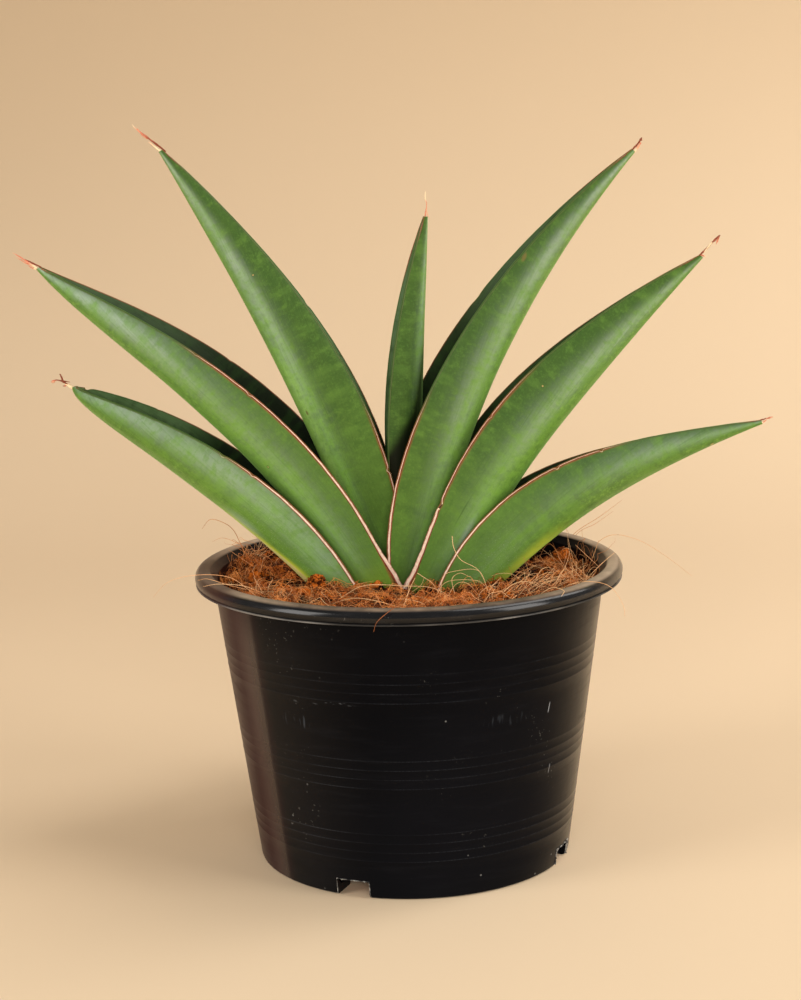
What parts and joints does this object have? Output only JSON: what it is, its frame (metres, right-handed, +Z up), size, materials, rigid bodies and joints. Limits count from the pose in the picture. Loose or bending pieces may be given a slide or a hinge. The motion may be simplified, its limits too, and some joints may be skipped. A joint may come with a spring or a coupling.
{
  "type": "potted snake plant",
  "caption": "Two-ranked fan of thick channelled snake plant leaves with dry pointed tips, rooted in coir in a round tapered nursery pot.",
  "frame": {"origin": "centre of the pot's base, on the pot's axis, at the level it stands on", "axes": "+Z up along the pot's axis; X along the flat fan of leaves, with the leaves of the right rank towards +X; the broad front of the fan faces -Y"},
  "size_m": [0.2608, 0.15, 0.2583],
  "materials": {
    "pot_plastic": "glossy black moulded plastic with fine turned rings and dust",
    "coir_fibre": "loose matted coconut fibre and crumb",
    "rhizome_flesh": "ringed, fleshy, matt",
    "leaf_green": "satin, waxy, cross-banded in two greens with reddish papery margins"
  },
  "bodies": {
    "root": {"pot": "pot_plastic", "coir": "coir_fibre", "rhizome": "rhizome_flesh", "leaf_low_right": "leaf_green", "leaf_low_left": "leaf_green", "leaf_middle_right": "leaf_green", "leaf_middle_left": "leaf_green", "leaf_high_right": "leaf_green", "leaf_high_left": "leaf_green", "leaf_centre": "leaf_green"}
  },
  "joints": []
}
